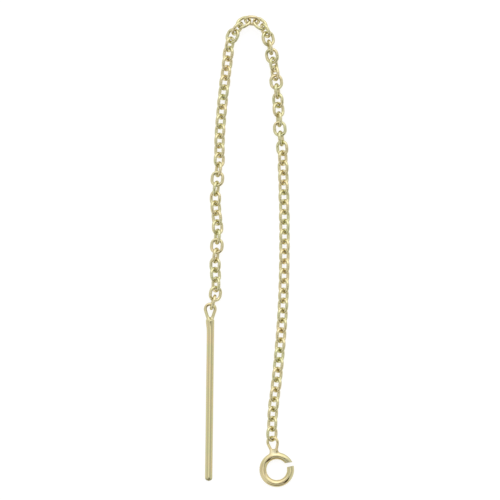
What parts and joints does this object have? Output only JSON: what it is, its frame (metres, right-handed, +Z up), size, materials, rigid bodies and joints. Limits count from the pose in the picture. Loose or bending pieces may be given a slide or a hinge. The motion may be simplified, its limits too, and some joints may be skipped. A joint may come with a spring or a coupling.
{
  "type": "threader earring",
  "caption": "Threader earring: a slim straight bar with a soldered eye, a fine cable chain, and a small open jump ring on its end, laid in one arch.",
  "frame": {"origin": "middle of the outline that the earring covers, on the surface that it lies on", "axes": "+Y from the free ends of the bar and ring to the top of the chain's arch, +X from the bar to the ring, +Z up from the surface"},
  "size_m": [0.009, 0.0471, 0.0014],
  "materials": {
    "gold": "polished pale yellow gold"
  },
  "bodies": {
    "root": {"threader_bar": "gold", "chain_bar_side": "gold", "chain_ring_side": "gold", "open_ring": "gold"}
  },
  "joints": []
}
